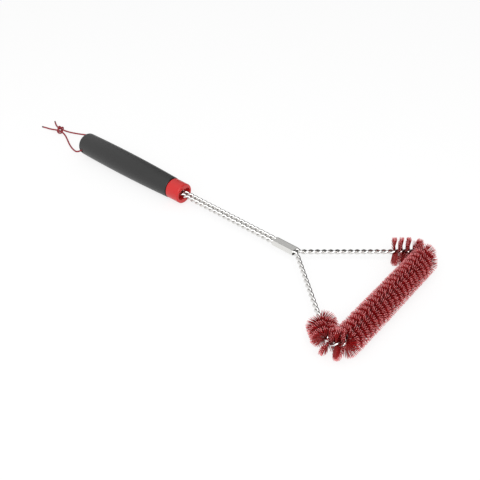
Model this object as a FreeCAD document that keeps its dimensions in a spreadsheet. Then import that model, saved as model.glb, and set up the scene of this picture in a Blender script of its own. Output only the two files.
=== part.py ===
import FreeCAD, Part
import math
import os
import Sketcher

# Grill cleaning brush: a long rope of two twisted wires, bent into a triangle with nylon
# bristles laid between the wires, a moulded handle on its two tails and a cord lanyard.
#
# The design is drawn about the fork's apex, with X along the shaft towards the head and Z up.
# Every sub-part is then placed so that the origin lies on the ground under the brush's middle.

Vector = FreeCAD.Vector
UP = Vector(0, 0, 1)

# Millimetres and degrees. Distances are from the fork's apex unless a comment says otherwise.
SIZES = [
    ("wire_diameter", 2.6),
    ("wire_gap", 0.03),  # from each wire to the rope's axis
    ("twist_pitch", 13.5),
    ("head_pitch", 14.8),  # of the twist where it holds bristles
    ("twist_phase", 177.0),  # of wire 1 at the middle of the bar
    ("fork_half_angle", 40.7),
    ("fork_bend_radius", 8.0),
    ("bar_distance", 105.5),
    ("corner_radius", 10.0),
    ("rope_gap", 0.06),  # between the two tails, side by side
    ("tail_depth", 55.0),  # from the handle's front plane to the tails' ends
    ("bristle_radius", 15.0),
    ("bristle_start", 98.1),
    ("bristle_root", 1.2),  # inner radius of the bristles
    ("bristle_spread", 12.4),  # half angle of a row of bristles, seen along the rope
    ("tuft_gap", 0.3),
    ("sleeve_front", 0.7),
    ("sleeve_length", 26.0),
    ("sleeve_wall", 0.45),
    ("sleeve_clearance", 0.1),
    ("sleeve_rounding", 0.4),
    ("ferrule_length", 14.0),
    ("ferrule_setback", 4.0),  # from the tails' ends to the ferrule
    ("handle_front", 175.5),
    ("handle_length", 151.0),
    ("handle_front_diameter", 24.4),
    ("barrel_diameter", 28.6),
    ("barrel_setback", 96.5),  # from the handle's front plane to its widest place
    ("butt_rounding", 3.0),
    ("mouth_rounding", 0.8),
    ("core_diameter", 19.0),
    ("core_clearance", 0.05),
    ("butt_wall", 9.5),  # solid end that the lanyard hole crosses
    ("socket_depth", 58.0),
    ("socket_clearance", 0.15),
    ("hole_diameter", 4.6),
    ("hole_setback", 5.5),  # from the butt to the lanyard hole
    ("hole_tilt", 12.0),
    ("collar_diameter", 23.6),
    ("collar_length", 19.0),
    ("collar_neck_width", 0.9),
    ("collar_neck_depth", 1.1),
    ("collar_rounding", 1.2),
    ("spigot_diameter", 15.0),
    ("spigot_length", 9.0),
    ("spigot_clearance", 0.05),
    ("mouth_width", 18.4),
    ("mouth_height", 12.0),
    ("mouth_depth", 6.0),
    ("slot_clearance", 0.25),
    ("lanyard_diameter", 2.0),
    ("knot_radius", 4.5),  # of the knot's outer turn, to its own middle line
]

doc = FreeCAD.newDocument("grill_brush")
sheet = doc.addObject("Spreadsheet::Sheet", "Sizes")
for row, (alias, number) in enumerate(SIZES, start=1):
    sheet.set(f"A{row}", alias)
    sheet.set(f"B{row}", str(number))
    sheet.setAlias(f"B{row}", alias)
doc.recompute()


def value(expression):
    """A size, or an expression of sizes, as a plain number."""
    return float(sheet.evalExpression(expression))


# Expressions shared by the sub-parts that must fit each other.
BUTT = "(Sizes.handle_front + Sizes.handle_length)"
ROPE_RADIUS = "(Sizes.wire_diameter + Sizes.wire_gap + 0.01)"
TAIL_OFFSET = f"({ROPE_RADIUS} + Sizes.rope_gap / 2)"
BAND_RADIUS = f"({ROPE_RADIUS} + Sizes.sleeve_clearance + Sizes.sleeve_wall)"
TAIL_END = "(Sizes.handle_front + Sizes.tail_depth)"
FRONT = "(Sizes.bar_distance + Sizes.bristle_radius)"

AXIS_HEIGHT = max(value("Sizes.bristle_radius"), value("Sizes.barrel_diameter / 2"))
APEX = Vector(value(f"({BUTT} - {FRONT}) / 2"), 0, AXIS_HEIGHT)

pieces = []


def place(piece, label):
    """Names a sub-part and moves it from the fork's apex to its place."""
    piece.Label = label
    piece.Placement = FreeCAD.Placement(APEX, FreeCAD.Rotation())
    pieces.append(piece)
    return piece


def shape_piece(label, shape):
    """A sub-part whose shape is made with Part's own functions."""
    piece = doc.addObject("Part::Feature", label)
    piece.Shape = shape
    return place(piece, label)


def new_body(label):
    return place(doc.addObject("PartDesign::Body", label), label)


# ---------------------------------------------------------------- sketches and their features


def new_sketch(body, name, role, offset=None):
    """A sketch on one of the body's own planes, moved along that plane's normal."""
    sketch = body.newObject("Sketcher::SketchObject", name)
    plane = next(f for f in body.Origin.OriginFeatures if f.Role == role)
    sketch.AttachmentSupport = [(plane, "")]
    sketch.MapMode = "FlatFace"
    if offset:
        sketch.setExpression("AttachmentOffset.Base.z", offset)
    return sketch


def bind(sketch, name, expression, *constraint):
    """Adds a named dimension to a sketch and ties it to the sheet."""
    index = sketch.addConstraint(Sketcher.Constraint(*constraint, value(expression)))
    sketch.renameConstraint(index, name)
    sketch.setExpression("Constraints." + name, expression)


def bind_corner(sketch, index, x, y):
    """Ties the start of one edge to its place; a height of None leaves it on the X axis."""
    bind(sketch, f"x{index}", x, "DistanceX", -1, 1, index, 1)
    if y is None:
        sketch.addConstraint(Sketcher.Constraint("PointOnObject", index, 1, -1))
    else:
        bind(sketch, f"y{index}", y, "DistanceY", -1, 1, index, 1)


def draw_outline(sketch, corners, arc_side=None, arc_centre=None, arc_radius=None):
    """Closed outline through the corners, with one side as an arc if arc_side is given."""
    points = [Vector(value(x), 0 if y is None else value(y), 0) for x, y in corners]
    count = len(points)
    for i, start in enumerate(points):
        end = points[(i + 1) % count]
        edge = Part.LineSegment(start, end)
        if i == arc_side:
            radius, centre_x = value(arc_radius), value(arc_centre)
            centre_y = start.y - math.sqrt(radius**2 - (start.x - centre_x) ** 2)
            top = Vector(centre_x, centre_y + radius, 0)
            edge = Part.Arc(start, top, end)
        sketch.addGeometry(edge, False)
    for i in range(count):
        start_of_next = (i + 1) % count
        # An arc is stored anticlockwise, so one that is drawn backwards ends where it starts.
        end_vertex = 1 if i == arc_side else 2
        start_vertex = 2 if start_of_next == arc_side else 1
        sketch.addConstraint(
            Sketcher.Constraint("Coincident", i, end_vertex, start_of_next, start_vertex)
        )
    for i, (x, y) in enumerate(corners):
        if i == arc_side:
            bind(sketch, "arc_radius", arc_radius, "Radius", i)
            bind(sketch, "arc_centre", arc_centre, "DistanceX", -1, 1, i, 3)
            bind(sketch, f"x{i}", x, "DistanceX", -1, 1, i, 2)
            bind(sketch, f"y{i}", y, "DistanceY", -1, 1, i, 2)
        elif i - 1 == arc_side:
            bind(sketch, f"x{i}", x, "DistanceX", -1, 1, i, 1)
        else:
            bind_corner(sketch, i, x, y)


def revolve(body, sketch):
    feature = body.newObject("PartDesign::Revolution", "Turned")
    feature.Profile = sketch
    feature.ReferenceAxis = (sketch, ["H_Axis"])
    feature.Angle = 360
    return feature


def pocket(body, sketch, length, symmetric=False, reverse=False):
    """Cuts a sketch's outline into the body; the cut must take material away."""
    doc.recompute()
    before = body.Shape.Volume
    feature = body.newObject("PartDesign::Pocket", "Cut")
    feature.Profile = sketch
    feature.SideType = "Symmetric" if symmetric else "One side"
    feature.Reversed = reverse
    feature.setExpression("Length", length)
    doc.recompute()
    assert body.Shape.Volume < before - 1.0, f"{sketch.Name} of {body.Label} cuts nothing"
    return feature


def draw_circle(sketch, radius, centre_x=None):
    centre = Vector(value(centre_x) if centre_x else 0, 0, 0)
    sketch.addGeometry(Part.Circle(centre, UP, value(radius)), False)
    bind(sketch, "radius", radius, "Radius", 0)
    if centre_x:
        bind(sketch, "centre", centre_x, "DistanceX", -1, 1, 0, 3)
        sketch.addConstraint(Sketcher.Constraint("PointOnObject", 0, 3, -1))
    else:
        sketch.addConstraint(Sketcher.Constraint("Coincident", 0, 3, -1, 1))


def draw_obround(sketch, half_straight, radius):
    """Two half circles joined by straight sides, centred on the shaft's axis."""
    a, r = value(half_straight), value(radius)
    right, left = Vector(a, 0, 0), Vector(-a, 0, 0)
    half = math.pi / 2
    sketch.addGeometry(Part.ArcOfCircle(Part.Circle(right, UP, r), -half, half), False)
    sketch.addGeometry(Part.LineSegment(Vector(a, r, 0), Vector(-a, r, 0)), False)
    sketch.addGeometry(Part.ArcOfCircle(Part.Circle(left, UP, r), half, 3 * half), False)
    sketch.addGeometry(Part.LineSegment(Vector(-a, -r, 0), Vector(a, -r, 0)), False)
    for first, second in ((0, 1), (1, 2), (2, 3), (3, 0)):
        sketch.addConstraint(Sketcher.Constraint("Tangent", first, 2, second, 1))
    sketch.addConstraint(Sketcher.Constraint("Equal", 0, 2))
    sketch.addConstraint(Sketcher.Constraint("Symmetric", 0, 3, 2, 3, -1, 1))
    sketch.addConstraint(Sketcher.Constraint("PointOnObject", 0, 3, -1))
    bind(sketch, "radius", radius, "Radius", 0)
    bind(sketch, "half_straight", half_straight, "DistanceX", -1, 1, 0, 3)


def round_edges(body, chosen, radius):
    """Rounds the edges of the body's last feature that the test picks out."""
    doc.recompute()
    tip = body.Tip
    names = [f"Edge{i}" for i, edge in enumerate(tip.Shape.Edges, start=1) if chosen(edge)]
    assert names, f"no edge to round on {body.Label}"
    feature = body.newObject("PartDesign::Fillet", "Rounded")
    feature.Base = (tip, names)
    feature.setExpression("Radius", radius)
    doc.recompute()
    return feature


def is_ring(edge, x, radius):
    """True for a whole circle about the shaft's axis at this place and of this radius."""
    curve = edge.Curve
    if not isinstance(curve, Part.Circle):
        return False
    on_axis = math.hypot(curve.Center.y, curve.Center.z) < 0.01
    return on_axis and abs(curve.Center.x - x) < 0.01 and abs(curve.Radius - radius) < 0.01


# ---------------------------------------------------------------- handle


def build_grip():
    """Soft outer grip: a barrel, closed and rounded at the butt, bored for the core."""
    body = new_body("grip_shell")
    sketch = new_sketch(body, "Barrel", "XZ_Plane")
    rise = "(Sizes.barrel_diameter - Sizes.handle_front_diameter)"
    radius = f"((Sizes.barrel_setback ^ 2 + {rise} ^ 2 / 4) / {rise})"
    run = "(Sizes.handle_length - Sizes.barrel_setback)"
    butt_radius = f"(Sizes.barrel_diameter / 2 - {radius} + sqrt({radius} ^ 2 - {run} ^ 2))"
    centre = "-(Sizes.handle_front + Sizes.barrel_setback)"
    corners = [
        (f"-{BUTT}", None),
        (f"-{BUTT}", butt_radius),
        ("-Sizes.handle_front", "Sizes.handle_front_diameter / 2"),
        ("-Sizes.handle_front", None),
    ]
    draw_outline(sketch, corners, arc_side=1, arc_centre=centre, arc_radius=radius)
    revolve(body, sketch)
    butt_x, front_x = -value(BUTT), -value("Sizes.handle_front")
    round_edges(body, lambda e: is_ring(e, butt_x, value(butt_radius)), "Sizes.butt_rounding")
    front_radius = value("Sizes.handle_front_diameter / 2")
    round_edges(body, lambda e: is_ring(e, front_x, front_radius), "Sizes.mouth_rounding")
    bore = new_sketch(body, "Bore", "YZ_Plane", "-Sizes.handle_front")
    draw_circle(bore, "Sizes.core_diameter / 2 + Sizes.core_clearance")
    pocket(body, bore, "Sizes.handle_length - Sizes.butt_wall")
    cut_lanyard_hole(body)


def cut_lanyard_hole(body):
    """Cross hole near the butt, tilted about the shaft's axis."""
    sketch = new_sketch(body, "LanyardHole", "XZ_Plane")
    sketch.AttachmentOffset = FreeCAD.Placement(Vector(), FreeCAD.Rotation(Vector(1, 0, 0), 1))
    sketch.setExpression("AttachmentOffset.Rotation.Angle", "Sizes.hole_tilt")
    draw_circle(sketch, "Sizes.hole_diameter / 2", f"-({BUTT} - Sizes.hole_setback)")
    pocket(body, sketch, "2 * Sizes.barrel_diameter", symmetric=True)


def build_core():
    """Rigid core: a round bar with a seat for the collar's spigot and a socket for the tails."""
    body = new_body("handle_core")
    sketch = new_sketch(body, "Bar", "XZ_Plane")
    back = f"-({BUTT} - Sizes.butt_wall - Sizes.core_clearance)"
    corners = [
        (back, None),
        (back, "Sizes.core_diameter / 2"),
        ("-Sizes.handle_front", "Sizes.core_diameter / 2"),
        ("-Sizes.handle_front", None),
    ]
    draw_outline(sketch, corners)
    revolve(body, sketch)
    seat = new_sketch(body, "SpigotSeat", "YZ_Plane", "-Sizes.handle_front")
    draw_circle(seat, "Sizes.spigot_diameter / 2 + Sizes.spigot_clearance")
    pocket(body, seat, "Sizes.spigot_length + Sizes.spigot_clearance")
    socket = new_sketch(body, "Socket", "YZ_Plane", "-Sizes.handle_front")
    draw_obround(socket, TAIL_OFFSET, f"{BAND_RADIUS} + Sizes.socket_clearance")
    pocket(body, socket, "Sizes.socket_depth")


def build_collar():
    """Red collar: a neck against the handle, a spigot behind it and an oval mouth in front."""
    body = new_body("collar")
    sketch = new_sketch(body, "Ring", "XZ_Plane")
    front = "-(Sizes.handle_front - Sizes.collar_length)"
    neck = "-(Sizes.handle_front - Sizes.collar_neck_width)"
    neck_radius = "Sizes.collar_diameter / 2 - Sizes.collar_neck_depth"
    corners = [
        ("-(Sizes.handle_front + Sizes.spigot_length)", None),
        ("-(Sizes.handle_front + Sizes.spigot_length)", "Sizes.spigot_diameter / 2"),
        ("-Sizes.handle_front", "Sizes.spigot_diameter / 2"),
        ("-Sizes.handle_front", neck_radius),
        (neck, neck_radius),
        (neck, "Sizes.collar_diameter / 2"),
        (front, "Sizes.collar_diameter / 2"),
        (front, None),
    ]
    draw_outline(sketch, corners)
    revolve(body, sketch)
    outer = value("Sizes.collar_diameter / 2")
    round_edges(body, lambda e: is_ring(e, value(front), outer), "Sizes.collar_rounding")
    round_edges(body, lambda e: is_ring(e, value(neck), outer), "Sizes.sleeve_rounding")
    mouth = new_sketch(body, "Mouth", "YZ_Plane", front)
    straight = "(Sizes.mouth_width - Sizes.mouth_height) / 2"
    draw_obround(mouth, straight, "Sizes.mouth_height / 2")
    pocket(body, mouth, "Sizes.mouth_depth")
    slot = new_sketch(body, "Slot", "YZ_Plane", front)
    draw_obround(slot, TAIL_OFFSET, f"{ROPE_RADIUS} + Sizes.slot_clearance")
    pocket(body, slot, "Sizes.collar_length + 2 * Sizes.spigot_length")


def build_band(label, back, length):
    """Flattened tube pressed round both ropes, its outer end edges rounded."""
    body = new_body(label)
    outer = new_sketch(body, "Outside", "YZ_Plane", back)
    draw_obround(outer, TAIL_OFFSET, BAND_RADIUS)
    tube = body.newObject("PartDesign::Pad", "Tube")
    tube.Profile = outer
    tube.setExpression("Length", length)
    round_edges(body, lambda e: abs(e.tangentAt(e.FirstParameter).x) < 0.5, "Sizes.sleeve_rounding")
    inner = new_sketch(body, "Inside", "YZ_Plane", back)
    draw_obround(inner, TAIL_OFFSET, f"{ROPE_RADIUS} + Sizes.sleeve_clearance")
    pocket(body, inner, length, reverse=True)


# ---------------------------------------------------------------- rope


def corner_tangent(before, corner, after, radius):
    """Where a rounded corner starts, its centre, its signed turn and where it ends."""
    arriving = (corner - before).normalize()
    leaving = (after - corner).normalize()
    turn = arriving.getAngle(leaving)
    reach = radius * math.tan(turn / 2)
    side = 1 if arriving.cross(leaving).z > 0 else -1
    start, end = corner - arriving * reach, corner + leaving * reach
    centre = start + UP.cross(arriving) * (side * radius)
    return start, centre, turn * side, end


def rope_route():
    """The rope's middle line as straight runs and flat arcs, from one tail's end to the other's."""
    slope = math.tan(math.radians(value("Sizes.fork_half_angle")))
    offset, bar = value(TAIL_OFFSET), value("Sizes.bar_distance")
    tail_end = -value(TAIL_END)
    one_side = [
        Vector(tail_end, offset, 0),
        Vector(offset / slope, offset, 0),
        Vector(bar, bar * slope, 0),
    ]
    corners = one_side + [Vector(p.x, -p.y, 0) for p in reversed(one_side)]
    bend, corner = value("Sizes.fork_bend_radius"), value("Sizes.corner_radius")
    route, here = [], corners[0]
    for i, radius in enumerate((bend, corner, corner, bend), start=1):
        start, centre, turn, end = corner_tangent(*corners[i - 1 : i + 2], radius)
        route.append(("run", here, start))
        route.append(("arc", start, centre, turn))
        here = end
    route.append(("run", here, corners[-1]))
    return route


def stretch_length(stretch):
    if stretch[0] == "run":
        return (stretch[2] - stretch[1]).Length
    return (stretch[1] - stretch[2]).Length * abs(stretch[3])


def rope_at(distance):
    """Middle point and direction of the rope at a distance from its first end."""
    for stretch in ROUTE:
        length = stretch_length(stretch)
        if distance <= length or stretch is ROUTE[-1]:
            break
        distance -= length
    if stretch[0] == "run":
        direction = (stretch[2] - stretch[1]).normalize()
        return stretch[1] + direction * distance, direction
    start, centre, turn = stretch[1:]
    swing = FreeCAD.Rotation(UP, math.degrees(turn * distance / length))
    spoke = swing.multVec(start - centre)
    direction = UP.cross(spoke).normalize() * math.copysign(1, turn)
    return centre + spoke, direction


def count_tufts():
    """Half turns of the twist from the first bristles on one arm to the last on the other."""
    half_angle = math.radians(value("Sizes.fork_half_angle"))
    arm = value("Sizes.bar_distance") / math.cos(half_angle) - value("Sizes.bristle_start")
    tangent = value("Sizes.corner_radius") / math.tan(math.pi / 4 - half_angle / 2)
    bar = 2 * value("Sizes.bar_distance") * math.tan(half_angle) - 2 * tangent
    bend = value("Sizes.corner_radius") * (math.pi / 2 + half_angle)
    return round((2 * (arm - tangent) + 2 * bend + bar) / HEAD_HALF_PITCH)


ROUTE = rope_route()
ROPE_LENGTH = sum(stretch_length(stretch) for stretch in ROUTE)
HALF_PITCH = value("Sizes.twist_pitch / 2")
HEAD_HALF_PITCH = value("Sizes.head_pitch / 2")
TUFT_COUNT = count_tufts()


def twist_angle(distance):
    """Direction of wire 1 from the rope's axis; the lay is left-handed, and longer in the head."""
    from_middle = distance - ROPE_LENGTH / 2
    head_reach = TUFT_COUNT * HEAD_HALF_PITCH / 2
    in_head = max(-head_reach, min(head_reach, from_middle))
    half_turns = in_head / HEAD_HALF_PITCH + (from_middle - in_head) / HALF_PITCH
    return math.radians(value("Sizes.twist_phase")) - math.pi * half_turns


def radial(direction, angle):
    """Unit vector across the rope, turned by an angle from its left side towards the top."""
    return UP.cross(direction) * math.cos(angle) + UP * math.sin(angle)


def rounded_route(points, share):
    """Straight runs joined by tangent arcs that use a share of the shorter run."""
    edges, radii, here = [], [], points[0]
    for before, corner, after in zip(points, points[1:], points[2:]):
        arriving, leaving = corner - before, after - corner
        reach = share * min(arriving.Length, leaving.Length)
        turn = arriving.getAngle(leaving)
        start = corner - arriving.normalize() * reach
        end = corner + leaving.normalize() * reach
        radius = reach / math.tan(turn / 2)
        inward = (leaving - arriving).normalize()
        middle = corner + inward * (radius / math.cos(turn / 2) - radius)
        if (start - here).Length > 1e-5:
            edges.append(Part.LineSegment(here, start).toShape())
        edges.append(Part.Arc(start, middle, end).toShape())
        radii.append(radius)
        here = end
    edges.append(Part.LineSegment(here, points[-1]).toShape())
    return Part.Wire(edges), radii


def tube(wire, diameter, label):
    """Round bar along a route, its volume compared with its section times its length."""
    first = wire.Edges[0]
    start = first.firstVertex(True).Point
    circle = Part.Circle(start, first.tangentAt(first.FirstParameter), diameter / 2)
    shape = wire.makePipe(Part.Face(Part.Wire([circle.toShape()])))
    expected = math.pi * diameter**2 / 4 * wire.Length
    print(f"{label}: length {wire.Length:.1f}, volume {shape.Volume:.1f} for {expected:.1f}")
    assert abs(shape.Volume - expected) < 0.002 * expected, f"{label} has a wrong volume"
    return shape


SIDES_PER_TURN = 6  # of the polygon that each wire's middle line is rounded from
CORNER_SHARE = 0.877  # mean radius of the rounded polygon, over that of its corners


def build_wires():
    """The two wires of the rope, wound round each other over its whole length."""
    count = round(ROPE_LENGTH / (2 * HALF_PITCH) * SIDES_PER_TURN)
    wind_radius = value("Sizes.wire_diameter / 2 + Sizes.wire_gap") / CORNER_SHARE
    for number, shift in ((1, 0), (2, math.pi)):
        points = []
        for i in range(count + 1):
            distance = ROPE_LENGTH * i / count
            middle, direction = rope_at(distance)
            points.append(middle + radial(direction, twist_angle(distance) + shift) * wind_radius)
        wire, _ = rounded_route(points, 0.4999)
        label = f"wire_{number}"
        shape_piece(label, tube(wire, value("Sizes.wire_diameter"), label))


# ---------------------------------------------------------------- bristles


def room_inside(distance):
    """How far bristles may reach into the triangle before they meet those round a corner."""
    room = value("Sizes.corner_radius")
    gain = math.tan(math.radians(90 - value("Sizes.fork_half_angle")) / 2)
    past, nearest = 0.0, None
    for stretch in ROUTE:
        length = stretch_length(stretch)
        if stretch[0] == "arc" and abs(stretch[3]) > math.pi / 2:
            away = max(past - distance, distance - past - length, 0.0)
            nearest = away if nearest is None else min(nearest, away)
        past += length
    return room + gain * nearest - 1.0


def blade_section(distance, shift):
    """Four corners of a row of bristles, cut square across the rope."""
    middle, direction = rope_at(distance)
    root, tip = value("Sizes.bristle_root"), value("Sizes.bristle_radius")
    spread = math.radians(value("Sizes.bristle_spread"))
    inside = direction.cross(UP)
    room = room_inside(distance)
    corners = []
    for radius, angle in ((root, -spread), (tip, -spread), (tip, spread), (root, spread)):
        spoke = radial(direction, twist_angle(distance) + shift + angle) * radius
        reach = spoke.dot(inside)
        if reach > room:
            spoke *= room / reach
        corners.append(middle + spoke)
    return Part.makePolygon(corners + corners[:1])


BLADE_STEPS = 8  # of each half turn


def build_tufts():
    """Bristle tufts, one for each half turn, each of two rows that wind round the rope."""
    first = ROPE_LENGTH / 2 - TUFT_COUNT * HEAD_HALF_PITCH / 2
    gap = value("Sizes.tuft_gap")
    length = HEAD_HALF_PITCH - gap
    for number in range(TUFT_COUNT):
        start = first + number * HEAD_HALF_PITCH + gap / 2
        steps = [start + length * i / BLADE_STEPS for i in range(BLADE_STEPS + 1)]
        rows = []
        for shift in (math.pi / 2, -math.pi / 2):
            sections = [blade_section(distance, shift) for distance in steps]
            rows.append(Part.makeLoft(sections, True, True))
        shape_piece(f"tuft_{number + 1:02d}", Part.makeCompound(rows))


# ---------------------------------------------------------------- lanyard

# Points of the two halves of the lanyard, from the middle of its hole over the ground to its
# ends, in the brush's own frame. Each half passes through the knot's outer turn.
LANYARD_NEAR = [
    (-218.0, 0.0, 15.0),
    (-218.0, -6.0, 13.7),
    (-218.3, -12.0, 12.4),
    (-220.5, -16.0, 11.5),
    (-223.6, -17.0, 10.4),
    (-228.8, -15.6, 8.6),
    (-236.5, -12.4, 6.0),
    (-246.0, -8.2, 3.0),
    (-257.5, -3.0, 1.4),
    (-269.0, 2.8, 1.7),
    (-280.0, 7.4, 3.7),
    (-290.0, 7.3, 5.2),
    (-299.0, 6.2, 3.5),
    (-307.5, 5.9, 1.3),
    (-315.5, 4.4, 1.1),
    (-322.0, 2.8, 1.0),
]
LANYARD_FAR = [
    (-218.0, 0.0, 15.0),
    (-218.0, 6.0, 16.3),
    (-218.2, 12.8, 17.6),
    (-220.4, 16.2, 16.9),
    (-224.8, 17.2, 15.7),
    (-231.5, 18.0, 14.2),
    (-240.5, 18.6, 11.9),
    (-252.0, 18.2, 8.4),
    (-265.0, 15.5, 6.3),
    (-278.0, 11.2, 6.0),
    (-290.0, 10.0, 6.2),
    (-299.0, 12.0, 4.4),
    (-307.0, 15.4, 2.0),
    (-314.5, 19.0, 1.1),
    (-320.5, 22.6, 1.0),
]
KNOT_CENTRE = (-290.0, 8.65, 5.65)


def build_lanyard():
    """Cord lanyard: two halves that meet in the hole, and the knot's turn round both."""
    diameter = value("Sizes.lanyard_diameter")
    for label, route in (("lanyard_near", LANYARD_NEAR), ("lanyard_far", LANYARD_FAR)):
        wire, radii = rounded_route([Vector(*point) - APEX for point in route], 0.45)
        print(label, "radii", [round(radius, 1) for radius in radii])
        shape_piece(label, tube(wire, diameter, label))
    centre = Vector(*KNOT_CENTRE) - APEX
    turn = Part.makeTorus(value("Sizes.knot_radius"), diameter / 2, centre, Vector(1, 0, 0))
    shape_piece("lanyard_knot", turn)


build_grip()
build_core()
build_collar()
sleeve_back = "-(Sizes.sleeve_front + Sizes.sleeve_length)"
build_band("crimp_sleeve", sleeve_back, "Sizes.sleeve_length")
build_band("tail_ferrule", f"-({TAIL_END} - Sizes.ferrule_setback)", "Sizes.ferrule_length")
build_wires()
build_tufts()
build_lanyard()
doc.recompute()

failed = [o.Name for o in doc.Objects if "Invalid" in o.State or "Error" in o.State]
assert not failed, f"objects that failed: {failed}"
for piece in pieces:
    assert not piece.Shape.isNull() and piece.Shape.isValid(), f"{piece.Label} is not valid"

os.makedirs("parts", exist_ok=True)
for piece in pieces:
    piece.Shape.exportStep(f"parts/{piece.Label}.step")
    solids = len(piece.Shape.Solids)
    print(f"{piece.Label}: {solids} solid(s), {piece.Shape.Volume:.1f} mm3")
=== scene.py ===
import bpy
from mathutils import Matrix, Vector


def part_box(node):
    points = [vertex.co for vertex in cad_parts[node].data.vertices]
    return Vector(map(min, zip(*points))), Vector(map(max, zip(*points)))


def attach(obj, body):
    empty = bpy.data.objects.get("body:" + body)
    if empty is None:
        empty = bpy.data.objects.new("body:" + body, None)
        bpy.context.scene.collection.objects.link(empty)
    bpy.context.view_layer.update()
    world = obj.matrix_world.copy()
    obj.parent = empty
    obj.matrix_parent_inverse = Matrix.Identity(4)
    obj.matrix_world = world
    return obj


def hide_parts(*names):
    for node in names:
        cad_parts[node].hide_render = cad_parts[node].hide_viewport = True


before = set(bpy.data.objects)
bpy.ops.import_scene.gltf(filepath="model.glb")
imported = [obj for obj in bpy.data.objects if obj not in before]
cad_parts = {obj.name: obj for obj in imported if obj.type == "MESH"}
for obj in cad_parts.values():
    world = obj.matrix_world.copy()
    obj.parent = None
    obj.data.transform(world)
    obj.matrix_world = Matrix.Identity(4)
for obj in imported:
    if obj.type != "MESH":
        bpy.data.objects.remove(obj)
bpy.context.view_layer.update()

import math
import random

import bmesh
import bpy
from mathutils import Matrix, Quaternion, Vector

# Looks of the grill brush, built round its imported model. Everything is in metres, with X along
# the shaft towards the head, Z up, and the ground under the brush at Z = 0.

MM = 0.001
UP = Vector((0, 0, 1))

# The rope of two wires, as the design has it. Distances are from the fork's apex.
WIRE_DIAMETER = 2.6 * MM
WIRE_GAP = 0.03 * MM  # from each wire to the rope's axis
TAIL_SLACK = 0.01 * MM  # beside each tail where the two run side by side
HALF_PITCH = 6.75 * MM
HEAD_HALF_PITCH = 7.4 * MM  # where the rope holds bristles
TWIST_PHASE = math.radians(177.0)  # of wire 1 at the middle of the bar
FORK_HALF_ANGLE = math.radians(40.7)
FORK_BEND_RADIUS = 8 * MM
BAR_DISTANCE = 105.5 * MM
CORNER_RADIUS = 10 * MM
ROPE_GAP = 0.06 * MM  # between the two tails
BRISTLE_RADIUS = 15 * MM
TUFT_COUNT = sum(name.startswith("tuft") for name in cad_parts)

GRIP_LOW, GRIP_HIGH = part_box("grip_shell")
SLEEVE_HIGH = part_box("crimp_sleeve")[1]
AXIS_HEIGHT = (GRIP_LOW.z + GRIP_HIGH.z) / 2
SLEEVE_FRONT = 0.7 * MM  # behind the apex
APEX = Vector((SLEEVE_HIGH.x + SLEEVE_FRONT, 0, AXIS_HEIGHT))

random.seed(41)


# ---------------------------------------------------------------- camera

scene = bpy.context.scene
scene.view_settings.view_transform = "Standard"
scene.cycles.denoising_prefilter = "NONE"  # keeps single bristles apart

CAMERA_OFFSET = Vector((0.2814, -0.4288, 0.4300))  # from the fork's apex
CAMERA_AIM = Vector((-0.4946, 0.5970, -0.6316))
CAMERA_ROLL = math.radians(0.6)

camera_data = bpy.data.cameras.new("camera")
camera_data.lens = 49.24
camera_data.sensor_width = 36.0
camera = bpy.data.objects.new("camera", camera_data)
scene.collection.objects.link(camera)
scene.camera = camera
camera.location = APEX + CAMERA_OFFSET
camera.rotation_mode = "QUATERNION"
aim = CAMERA_AIM.to_track_quat("-Z", "Y")
camera.rotation_quaternion = aim @ Quaternion((0, 0, 1), CAMERA_ROLL)


# ---------------------------------------------------------------- materials


def linear(sheet_colour):
    """An sRGB colour written as hex digits, as the linear colour that a shader takes."""
    parts = [int(sheet_colour[i : i + 2], 16) / 255 for i in (0, 2, 4)]
    curve = [c / 12.92 if c <= 0.04045 else ((c + 0.055) / 1.055) ** 2.4 for c in parts]
    return (*curve, 1.0)


def add_node(tree, kind, sockets=None, **properties):
    """Adds a node with its properties; sockets are numbers, colours or other nodes' outputs."""
    node = tree.nodes.new(kind)
    for name, setting in properties.items():
        setattr(node, name, setting)
    for name, feed in (sockets or {}).items():
        socket = node.inputs[name]
        if isinstance(feed, bpy.types.NodeSocket):
            tree.links.new(feed, socket)
        else:
            socket.default_value = feed
    return node


def new_material(name):
    material = bpy.data.materials.new(name)
    material.use_nodes = True
    material.node_tree.nodes.clear()
    return material, material.node_tree


def close_material(tree, surface):
    add_node(tree, "ShaderNodeOutputMaterial", {"Surface": surface})


def make_steel(name, tint, stretch, grain_size, smooth, rough):
    """Bright steel. Its draw or brush lines run along X where the grain is stretched."""
    material, tree = new_material(name)
    place = add_node(tree, "ShaderNodeTexCoord")
    lines = add_node(
        tree,
        "ShaderNodeMapping",
        {"Vector": place.outputs["Object"], "Scale": (1 / stretch, 1, 1)},
    )
    grain = add_node(
        tree,
        "ShaderNodeTexNoise",
        {"Vector": lines.outputs["Vector"], "Scale": 1 / grain_size, "Detail": 3.0},
    )
    wear = add_node(
        tree,
        "ShaderNodeMapRange",
        {"Value": grain.outputs["Fac"], "To Min": smooth, "To Max": rough},
    )
    shade = add_node(
        tree,
        "ShaderNodeMapRange",
        {"Value": grain.outputs["Fac"], "To Min": 0.86, "To Max": 1.0},
    )
    colour = add_node(
        tree,
        "ShaderNodeMix",
        {"Factor": shade.outputs["Result"], "A": linear("A8A7A5"), "B": linear(tint)},
        data_type="RGBA",
    )
    relief = add_node(
        tree,
        "ShaderNodeBump",
        {"Height": grain.outputs["Fac"], "Strength": 0.25, "Distance": 0.01 * MM},
    )
    steel = add_node(
        tree,
        "ShaderNodeBsdfPrincipled",
        {
            "Base Color": colour.outputs["Result"],
            "Metallic": 1.0,
            "Roughness": wear.outputs["Result"],
            "Normal": relief.outputs["Normal"],
        },
    )
    close_material(tree, steel.outputs["BSDF"])
    return material


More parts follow.
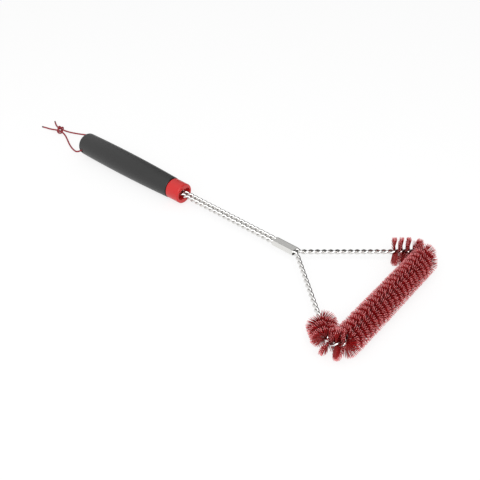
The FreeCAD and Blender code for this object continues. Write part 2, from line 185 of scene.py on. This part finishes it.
def make_moulding(name, colour, worn_colour, grain_size, depth, smooth, rough):
    """Moulded plastic or rubber with a fine spark-eroded grain and slight cloudy wear."""
    material, tree = new_material(name)
    place = add_node(tree, "ShaderNodeTexCoord")
    grain = add_node(
        tree,
        "ShaderNodeTexNoise",
        {"Vector": place.outputs["Object"], "Scale": 1 / grain_size, "Detail": 2.0},
    )
    cloud = add_node(
        tree,
        "ShaderNodeTexNoise",
        {"Vector": place.outputs["Object"], "Scale": 1 / (14 * MM), "Detail": 4.0},
    )
    tone = add_node(
        tree,
        "ShaderNodeMix",
        {"Factor": cloud.outputs["Fac"], "A": linear(colour), "B": linear(worn_colour)},
        data_type="RGBA",
    )
    sheen = add_node(
        tree,
        "ShaderNodeMapRange",
        {"Value": cloud.outputs["Fac"], "To Min": smooth, "To Max": rough},
    )
    relief = add_node(
        tree,
        "ShaderNodeBump",
        {"Height": grain.outputs["Fac"], "Strength": 0.5, "Distance": depth},
    )
    plastic = add_node(
        tree,
        "ShaderNodeBsdfPrincipled",
        {
            "Base Color": tone.outputs["Result"],
            "Roughness": sheen.outputs["Result"],
            "Normal": relief.outputs["Normal"],
            "Coat Weight": 0.12,
            "Coat Roughness": 0.3,
        },
    )
    close_material(tree, plastic.outputs["BSDF"])
    return material


def make_nylon():
    """Extruded nylon bristle: deep red, with painted shade darker towards the root and a painted
    highlight, as of light coming through, paler towards the cut tip.
    """
    material, tree = new_material("extruded_red_nylon")
    along = add_node(tree, "ShaderNodeUVMap", uv_map="along")
    split = add_node(tree, "ShaderNodeSeparateXYZ", {"Vector": along.outputs["UV"]})
    place = add_node(tree, "ShaderNodeTexCoord")
    streak = add_node(
        tree,
        "ShaderNodeTexNoise",
        {"Vector": place.outputs["Object"], "Scale": 1 / (1.5 * MM), "Detail": 2.0},
    )
    root_shade_to_tip_highlight = add_node(
        tree,
        "ShaderNodeMath",
        {0: streak.outputs["Fac"], 1: 0.16, 2: split.outputs["Y"]},
        operation="MULTIPLY_ADD",
    )
    # Painted light: along each bristle this ramp runs from painted shade at the root to a pale
    # painted highlight at the cut tip.
    tone = add_node(tree, "ShaderNodeValToRGB", {"Fac": root_shade_to_tip_highlight.outputs["Value"]})
    ramp = tone.color_ramp
    ramp.elements[0].position = 0.35
    ramp.elements[0].color = linear("8E0709")
    ramp.elements[1].position = 1.08
    ramp.elements[1].color = linear("EE9092")
    middle = ramp.elements.new(0.95)
    middle.color = linear("A81216")
    batch = add_node(
        tree,
        "ShaderNodeMapRange",
        {"Value": split.outputs["X"], "To Min": 0.8, "To Max": 1.2},
    )
    dye_and_painted_light = add_node(
        tree,
        "ShaderNodeVectorMath",
        {0: tone.outputs["Color"], "Scale": batch.outputs["Result"]},
        operation="SCALE",
    )
    nylon = add_node(
        tree,
        "ShaderNodeBsdfPrincipled",
        {"Base Color": dye_and_painted_light.outputs["Vector"], "Roughness": 0.45, "IOR": 1.53},
    )
    close_material(tree, nylon.outputs["BSDF"])
    return material


def make_cord(tips):
    """Braided cord: two crossing sets of yarns with painted shade darkening the grooves between them,
    and dark melted ends.
    """
    material, tree = new_material("braided_red_polyester")
    place = add_node(tree, "ShaderNodeTexCoord")
    yarns = []
    for turn in (35, -35):
        lean = add_node(
            tree,
            "ShaderNodeMapping",
            {"Vector": place.outputs["Object"], "Rotation": (0.3, 0, math.radians(turn))},
        )
        wave = add_node(
            tree,
            "ShaderNodeTexWave",
            {"Vector": lean.outputs["Vector"], "Scale": 0.314 / (0.9 * MM), "Distortion": 0.6},
        )
        yarns.append(wave.outputs["Fac"])
    braid = add_node(tree, "ShaderNodeMath", {0: yarns[0], 1: yarns[1]}, operation="MAXIMUM")
    # Painted shade: the cord's colour darkens where the braid is low, in the grooves between yarns.
    dye_and_groove_shade = add_node(
        tree,
        "ShaderNodeMix",
        {"Factor": braid.outputs["Value"], "A": linear("6E1E26"), "B": linear("A8343E")},
        data_type="RGBA",
    )
    reaches = []
    for tip in tips:
        reach = add_node(
            tree,
            "ShaderNodeVectorMath",
            {0: place.outputs["Object"], 1: tip},
            operation="DISTANCE",
        )
        reaches.append(reach.outputs["Value"])
    nearest = add_node(tree, "ShaderNodeMath", {0: reaches[0], 1: reaches[1]}, operation="MINIMUM")
    melted = add_node(
        tree,
        "ShaderNodeMapRange",
        {
            "Value": nearest.outputs["Value"],
            "From Min": 1.4 * MM,
            "From Max": 2.6 * MM,
            "To Min": 1.0,
            "To Max": 0.0,
        },
    )
    colour = add_node(
        tree,
        "ShaderNodeMix",
        {
            "Factor": melted.outputs["Result"],
            "A": dye_and_groove_shade.outputs["Result"],
            "B": linear("332A2B"),
        },
        data_type="RGBA",
    )
    relief = add_node(
        tree,
        "ShaderNodeBump",
        {"Height": braid.outputs["Value"], "Strength": 0.6, "Distance": 0.15 * MM},
    )
    cord = add_node(
        tree,
        "ShaderNodeBsdfPrincipled",
        {
            "Base Color": colour.outputs["Result"],
            "Roughness": 0.75,
            "Normal": relief.outputs["Normal"],
        },
    )
    close_material(tree, cord.outputs["BSDF"])
    return material


# Wire: nearly mirror bright, so each strand shows a white side and a dark side; much of the dark side
# is a painted dark reflection of the card behind the brush.
STEEL = make_steel("drawn_stainless_steel", "E2E1DF", 1.0, 0.5 * MM, 0.10, 0.20)
# Pressed bands: satin, with brush lines along the shaft.
BAND = make_steel("brushed_steel_band", "E4E3E0", 14.0, 0.18 * MM, 0.14, 0.22)
# Bristles: deep red in the body with painted shade towards the roots, paler at the cut ends by a
# painted highlight, and each bristle's tone a little off its neighbours'.
NYLON = make_nylon()
# Grip: charcoal, soft to the eye, with a broad dull highlight.
GRIP_BLACK = make_moulding("satin_black_rubber", "191919", "1F1F1F", 0.22 * MM, 0.03 * MM, 0.40, 0.48)
# Collar: clear warm red with a tight highlight on its rounded edges.
COLLAR_RED = make_moulding("moulded_red_abs", "CE191A", "D62322", 0.3 * MM, 0.01 * MM, 0.26, 0.36)
# Core: dull black, hidden inside the grip.
CORE_BLACK = make_moulding("moulded_black_nylon", "1B1B1C", "222223", 0.3 * MM, 0.02 * MM, 0.5, 0.6)


# ---------------------------------------------------------------- lanyard

LANYARD_DIAMETER = 2 * MM
LANYARD_NEAR = [
    (-0.218, 0.0, 0.015),
    (-0.218, -0.006, 0.0137),
    (-0.2183, -0.012, 0.0124),
    (-0.2205, -0.016, 0.0115),
    (-0.2236, -0.017, 0.0104),
    (-0.2288, -0.0156, 0.0086),
    (-0.2365, -0.0124, 0.006),
    (-0.246, -0.0082, 0.003),
    (-0.2575, -0.003, 0.0014),
    (-0.269, 0.0028, 0.0017),
    (-0.28, 0.0074, 0.0037),
    (-0.29, 0.0073, 0.0052),
    (-0.299, 0.0062, 0.0035),
    (-0.3075, 0.0059, 0.0013),
    (-0.3155, 0.0044, 0.0011),
    (-0.322, 0.0028, 0.001),
]
LANYARD_FAR = [
    (-0.218, 0.0, 0.015),
    (-0.218, 0.006, 0.0163),
    (-0.2182, 0.0128, 0.0176),
    (-0.2204, 0.0162, 0.0169),
    (-0.2248, 0.0172, 0.0157),
    (-0.2315, 0.018, 0.0142),
    (-0.2405, 0.0186, 0.0119),
    (-0.252, 0.0182, 0.0084),
    (-0.265, 0.0155, 0.0063),
    (-0.278, 0.0112, 0.006),
    (-0.29, 0.01, 0.0062),
    (-0.299, 0.012, 0.0044),
    (-0.307, 0.0154, 0.002),
    (-0.3145, 0.019, 0.0011),
    (-0.3205, 0.0226, 0.001),
]
KNOT_CENTRE = Vector((-0.29, 0.00865, 0.0058))
KNOT_RADIUS = 3.4 * MM  # to the middle of the knot's turns
KNOT_SWAY = 1.35 * MM  # of the turns over and under each other
# Cord: dull dark red with a fine braid whose grooves are darkened by painted shade, and scorched at
# both cut ends.
CORD = make_cord((LANYARD_NEAR[-1], LANYARD_FAR[-1]))


def lay_cord(name, points, node):
    """A round cord on a smooth line through its route."""
    curve = bpy.data.curves.new(name, "CURVE")
    curve.dimensions = "3D"
    spline = curve.splines.new("NURBS")
    spline.points.add(len(points) - 1)
    for point, place in zip(spline.points, points):
        point.co = (*place, 1)
    spline.order_u = 3
    spline.use_endpoint_u = True
    spline.resolution_u = 8
    curve.bevel_depth = LANYARD_DIAMETER / 2
    curve.bevel_resolution = 4
    curve.use_fill_caps = True
    cord = bpy.data.objects.new(name, curve)
    scene.collection.objects.link(cord)
    cord.data.materials.append(CORD)
    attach(cord, "root")
    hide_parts(node)


lay_cord("lanyard_near_half", LANYARD_NEAR, "lanyard_near")
lay_cord("lanyard_far_half", LANYARD_FAR, "lanyard_far")


# ---------------------------------------------------------------- rope


def rope_route():
    """The rope's middle line as straight runs and flat arcs, from one tail's end to the other."""
    slope = math.tan(FORK_HALF_ANGLE)
    offset = WIRE_DIAMETER + WIRE_GAP + TAIL_SLACK + ROPE_GAP / 2
    tail_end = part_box("wire_1")[0].x - APEX.x
    one_side = [
        Vector((tail_end, offset, 0)),
        Vector((offset / slope, offset, 0)),
        Vector((BAR_DISTANCE, BAR_DISTANCE * slope, 0)),
    ]
    corners = one_side + [Vector((p.x, -p.y, 0)) for p in reversed(one_side)]
    radii = (FORK_BEND_RADIUS, CORNER_RADIUS, CORNER_RADIUS, FORK_BEND_RADIUS)
    route, here = [], corners[0]
    for radius, before, corner, after in zip(radii, corners, corners[1:], corners[2:]):
        arriving = (corner - before).normalized()
        leaving = (after - corner).normalized()
        turn = arriving.angle(leaving)
        reach = radius * math.tan(turn / 2)
        side = 1 if arriving.cross(leaving).z > 0 else -1
        start = corner - arriving * reach
        centre = start + UP.cross(arriving) * (side * radius)
        route.append(((start - here).length, here, None, 0))
        route.append((radius * turn, start, centre, side * turn))
        here = corner + leaving * reach
    route.append(((corners[-1] - here).length, here, None, 0))
    return route, corners[-1]


ROUTE, ROPE_END = rope_route()
ROPE_LENGTH = sum(stretch[0] for stretch in ROUTE)


def rope_at(distance):
    """Middle point and direction of the rope at a distance from its first end."""
    for number, (length, start, centre, turn) in enumerate(ROUTE):
        if distance <= length or number == len(ROUTE) - 1:
            break
        distance -= length
    if centre is None:
        end = ROUTE[number + 1][1] if number + 1 < len(ROUTE) else ROPE_END
        direction = (end - start).normalized()
        return APEX + start + direction * distance, direction
    spoke = Matrix.Rotation(turn * distance / length, 3, "Z") @ (start - centre)
    direction = UP.cross(spoke).normalized() * math.copysign(1, turn)
    return APEX + centre + spoke, direction


def twist_angle(distance):
    """Direction of wire 1 from the rope's axis; the lay is left-handed, and longer in the head."""
    from_middle = distance - ROPE_LENGTH / 2
    head_reach = TUFT_COUNT * HEAD_HALF_PITCH / 2
    in_head = max(-head_reach, min(head_reach, from_middle))
    half_turns = in_head / HEAD_HALF_PITCH + (from_middle - in_head) / HALF_PITCH
    return TWIST_PHASE - math.pi * half_turns


def radial(direction, angle):
    """Unit vector across the rope, turned by an angle from its left side towards the top."""
    return UP.cross(direction) * math.cos(angle) + UP * math.sin(angle)


def deselect_all():
    bpy.ops.object.select_all(action="DESELECT")


def finish_piece(piece, material, slot, *nodes):
    """Gives a piece its material and body, and hides the CAD nodes that it stands for; its slot is
    not used.
    """
    piece.data.materials.clear()
    piece.data.materials.append(material)
    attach(piece, "root")
    if nodes:
        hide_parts(*nodes)


def sweep_tube(name, places, radius, roundness, closed):
    """A round tube through a row of places, as a smooth mesh."""
    curve = bpy.data.curves.new(name, "CURVE")
    curve.dimensions = "3D"
    spline = curve.splines.new("POLY")
    spline.points.add(len(places) - 1)
    spline.use_cyclic_u = closed
    for point, place in zip(spline.points, places):
        point.co = (*place, 1)
    curve.bevel_depth = radius
    curve.bevel_resolution = roundness
    curve.use_fill_caps = not closed
    tube = bpy.data.objects.new(name, curve)
    scene.collection.objects.link(tube)
    deselect_all()
    tube.select_set(True)
    bpy.context.view_layer.objects.active = tube
    bpy.ops.object.convert(target="MESH")
    bpy.ops.object.shade_smooth()
    return bpy.context.view_layer.objects.active


STEPS_PER_TURN = 20


def wind_wire(number, shift):
    """One wire of the rope, wound round the other over the rope's whole length."""
    count = round(ROPE_LENGTH / (2 * HALF_PITCH) * STEPS_PER_TURN)
    wind_radius = WIRE_DIAMETER / 2 + WIRE_GAP
    places = []
    for i in range(count + 1):
        distance = ROPE_LENGTH * i / count
        middle, direction = rope_at(distance)
        places.append(middle + radial(direction, twist_angle(distance) + shift) * wind_radius)
    wire = sweep_tube(f"rope_wire_{number}", places, WIRE_DIAMETER / 2, 5, closed=False)
    finish_piece(wire, STEEL, "stainless_wire", f"wire_{number}")


wind_wire(1, 0)
wind_wire(2, math.pi)


# ---------------------------------------------------------------- knot


KNOT_STEPS = 96


def tie_knot():
    """The lanyard's overhand knot, closed on itself: it crosses over and under three times."""
    places = []
    for i in range(KNOT_STEPS):
        turn = 2 * math.pi * i / KNOT_STEPS
        reach = KNOT_RADIUS + KNOT_SWAY * math.cos(3 * turn)
        offset = Vector(
            (
                KNOT_SWAY * math.sin(3 * turn),
                reach * math.cos(2 * turn),
                reach * math.sin(2 * turn),
            )
        )
        places.append(KNOT_CENTRE + offset)
    knot = sweep_tube("lanyard_overhand_knot", places, LANYARD_DIAMETER / 2, 4, closed=True)
    finish_piece(knot, CORD, "lanyard_cord", "lanyard_knot")


tie_knot()


# ---------------------------------------------------------------- bristles

BRISTLE_ROOT = 1.0 * MM  # from the rope's axis
BRISTLE_THICKNESS = 0.6 * MM
BRISTLES_PER_ROW = 23
ROW_LEAN = 1.5 * MM  # of a bristle's tip along the rope, each way
ROOT_GATHER = 0.7  # the wires press the roots of a half turn together
TIP_GATHER = 0.55  # and the tips a little more
SHORTEST_BRISTLE = 0.955  # as a share of the longest
BRISTLE_CUTS = (0.35, 0.7, 0.97)  # heights of the edge rings on a bristle of unit length
BLUNT_TIP = 0.5  # half width of the cut end
SLOT_SLIP = 0.2  # of a bristle in its row, in bristle widths
LAYER_STAGGER = 0.3  # of one layer against the next, in bristle widths
ANGLE_SLIP = 0.03  # radians
LEAN_SLIP = 0.2


def make_bristle():
    """One bristle of unit length along Z, with a smooth waist and a blunt tip."""
    deselect_all()
    bpy.ops.mesh.primitive_cylinder_add(vertices=5, radius=1, depth=1, location=(0, 0, 0.5))
    bristle = bpy.context.object
    bpy.ops.object.transform_apply(location=True, rotation=True, scale=True)
    mesh = bmesh.new()
    mesh.from_mesh(bristle.data)
    for height in BRISTLE_CUTS:
        everything = mesh.verts[:] + mesh.edges[:] + mesh.faces[:]
        bmesh.ops.bisect_plane(mesh, geom=everything, plane_co=(0, 0, height), plane_no=(0, 0, 1))
    for vertex in mesh.verts:
        taper = 1.4 - 0.6 * vertex.co.z if vertex.co.z < 0.98 else BLUNT_TIP
        vertex.co.x *= taper
        vertex.co.y *= taper
    along = mesh.loops.layers.uv.new("along")
    for face in mesh.faces:
        face.smooth = True
        for loop in face.loops:
            loop[along].uv = (0.5, loop.vert.co.z)
    mesh.to_mesh(bristle.data)
    mesh.free()
    return bristle


def build_tuft(number, bristle):
    """The bristles of one half turn: two rows, each of three layers that lean apart."""
    tuft = bmesh.new()
    tuft.from_mesh(bristle.data)  # for its UV layer only
    bmesh.ops.delete(tuft, geom=tuft.verts[:], context="VERTS")
    centre = ROPE_LENGTH / 2 + (number + 0.5 - TUFT_COUNT / 2) * HEAD_HALF_PITCH
    for side in (math.pi / 2, -math.pi / 2):
        for layer in (-1, 0, 1):
            for i in range(BRISTLES_PER_ROW):
                slip = random.uniform(-SLOT_SLIP, SLOT_SLIP)
                share = (i + 0.5 + LAYER_STAGGER * layer + slip) / BRISTLES_PER_ROW
                reach = HEAD_HALF_PITCH * (share - 0.5)
                angle = twist_angle(centre + reach) + side
                angle += random.uniform(-ANGLE_SLIP, ANGLE_SLIP)
                middle, direction = rope_at(centre + reach * ROOT_GATHER)
                out = radial(direction, angle)
                root = middle + out * BRISTLE_ROOT
                length = BRISTLE_RADIUS * random.uniform(SHORTEST_BRISTLE, 1.0)
                shift = reach * (TIP_GATHER - ROOT_GATHER)
                shift += ROW_LEAN * (layer + random.uniform(-LEAN_SLIP, LEAN_SLIP))
                axis = middle + out * length + direction * shift - root
                turn = axis.to_track_quat("Z", "Y").to_matrix().to_4x4()
                half = BRISTLE_THICKNESS / 2
                size = Matrix.Diagonal((half, half, axis.length, 1))
                copy = bristle.data.copy()
                copy.transform(Matrix.Translation(root) @ turn @ size)
                batch = random.random()
                for corner in copy.uv_layers["along"].uv:
                    corner.vector.x = batch
                tuft.from_mesh(copy)
                bpy.data.meshes.remove(copy)
    mesh = bpy.data.meshes.new(f"bristles_{number + 1:02d}")
    tuft.to_mesh(mesh)
    tuft.free()
    piece = bpy.data.objects.new(mesh.name, mesh)
    scene.collection.objects.link(piece)
    finish_piece(piece, NYLON, "bristle_nylon", f"tuft_{number + 1:02d}")


bristle = make_bristle()
for number in range(TUFT_COUNT):
    build_tuft(number, bristle)
bpy.data.objects.remove(bristle)


# ---------------------------------------------------------------- carried-over nodes

for name, material in (
    ("grip_shell", GRIP_BLACK),
    ("handle_core", CORE_BLACK),
    ("collar", COLLAR_RED),
    ("crimp_sleeve", BAND),
    ("tail_ferrule", BAND),
):
    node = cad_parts[name]
    node.data.materials.clear()
    node.data.materials.append(material)


# ---------------------------------------------------------------- studio

WHITE = (1, 1, 1, 1)
FLOOR_SIZE = 60
FLOOR_LIFT = 0.78  # brings the floor to white where it is seen
SOFT_LIGHT = 0.6  # from all round
LAMP_POWER = 12


def seen_white(tree):
    """One for the rays that meet the white background: camera, glossy and transmission."""
    light_path = add_node(tree, "ShaderNodeLightPath")
    direct = add_node(
        tree,
        "ShaderNodeMath",
        {0: light_path.outputs["Is Camera Ray"], 1: light_path.outputs["Is Glossy Ray"]},
        operation="MAXIMUM",
    )
    return add_node(
        tree,
        "ShaderNodeMath",
        {0: direct.outputs["Value"], 1: light_path.outputs["Is Transmission Ray"]},
        operation="MAXIMUM",
    )


def build_floor():
    """Plain white floor; it takes the brush's soft shadow, made faint by the lift."""
    deselect_all()
    bpy.ops.mesh.primitive_plane_add(size=FLOOR_SIZE, location=(0, 0, 0))
    floor = bpy.context.object
    floor.name = "floor"
    material, tree = new_material("white_paper_floor")
    seen = seen_white(tree)
    paper = add_node(tree, "ShaderNodeBsdfDiffuse", {"Color": linear("F2F2F2")})
    shaded = add_node(tree, "ShaderNodeBsdfDiffuse", {"Color": linear("8A8A8A")})
    lift = add_node(tree, "ShaderNodeEmission", {"Color": WHITE, "Strength": FLOOR_LIFT})
    both = add_node(
        tree, "ShaderNodeAddShader", {0: shaded.outputs["BSDF"], 1: lift.outputs["Emission"]}
    )
    surface = add_node(
        tree,
        "ShaderNodeMixShader",
        {"Fac": seen.outputs["Value"], 1: paper.outputs["BSDF"], 2: both.outputs["Shader"]},
    )
    close_material(tree, surface.outputs["Shader"])
    floor.data.materials.append(material)


def add_lamp(name, place, target, size, power):
    lamp_data = bpy.data.lights.new(name, "AREA")
    lamp_data.shape = "RECTANGLE"
    lamp_data.size, lamp_data.size_y = size
    lamp_data.energy = power
    lamp = bpy.data.objects.new(name, lamp_data)
    scene.collection.objects.link(lamp)
    lamp.location = place
    lamp.rotation_euler = (Vector(target) - Vector(place)).to_track_quat("-Z", "Y").to_euler()


def build_world():
    """White all round where it is seen or mirrored, and a plain soft light on the brush."""
    world = bpy.data.worlds.new("studio")
    world.use_nodes = True
    scene.world = world
    tree = world.node_tree
    tree.nodes.clear()
    seen = seen_white(tree)
    soft = add_node(tree, "ShaderNodeBackground", {"Color": WHITE, "Strength": SOFT_LIGHT})
    white = add_node(tree, "ShaderNodeBackground", {"Color": WHITE, "Strength": 1.0})
    surface = add_node(
        tree,
        "ShaderNodeMixShader",
        {
            "Fac": seen.outputs["Value"],
            1: soft.outputs["Background"],
            2: white.outputs["Background"],
        },
    )
    add_node(tree, "ShaderNodeOutputWorld", {"Surface": surface.outputs["Shader"]})


def add_card(name, way, distance, radius, brightness):
    """Round studio card behind the brush, seen in reflections only: a painted dark or grey reflection
    band there, which lights and shades nothing.
    """
    deselect_all()
    way = Vector(way).normalized()
    bpy.ops.mesh.primitive_circle_add(
        vertices=64, radius=radius, fill_type="NGON", location=way * distance
    )
    card = bpy.context.object
    card.name = name
    card.rotation_euler = way.to_track_quat("Z", "Y").to_euler()
    material, tree = new_material(name)
    glow = add_node(tree, "ShaderNodeEmission", {"Color": WHITE, "Strength": brightness})
    close_material(tree, glow.outputs["Emission"])
    card.data.materials.append(material)
    card.visible_camera = False
    card.visible_diffuse = False
    card.visible_shadow = False


build_floor()
# Painted reflections: two glowing discs that only glossy rays see, one dark and one grey, which put
# dark and grey bands on the metal.
add_card("painted_dark_reflection", (0.227, 0.841, 0.49), 3.0, 5.2, 0.05)
add_card("painted_grey_reflection", (-0.406, 0.618, 0.673), 2.0, 0.8, 0.62)
add_lamp("front_softbox", (0.55, -0.85, 1.1), (0, 0, 0), (1.3, 1.0), LAMP_POWER)
build_world()
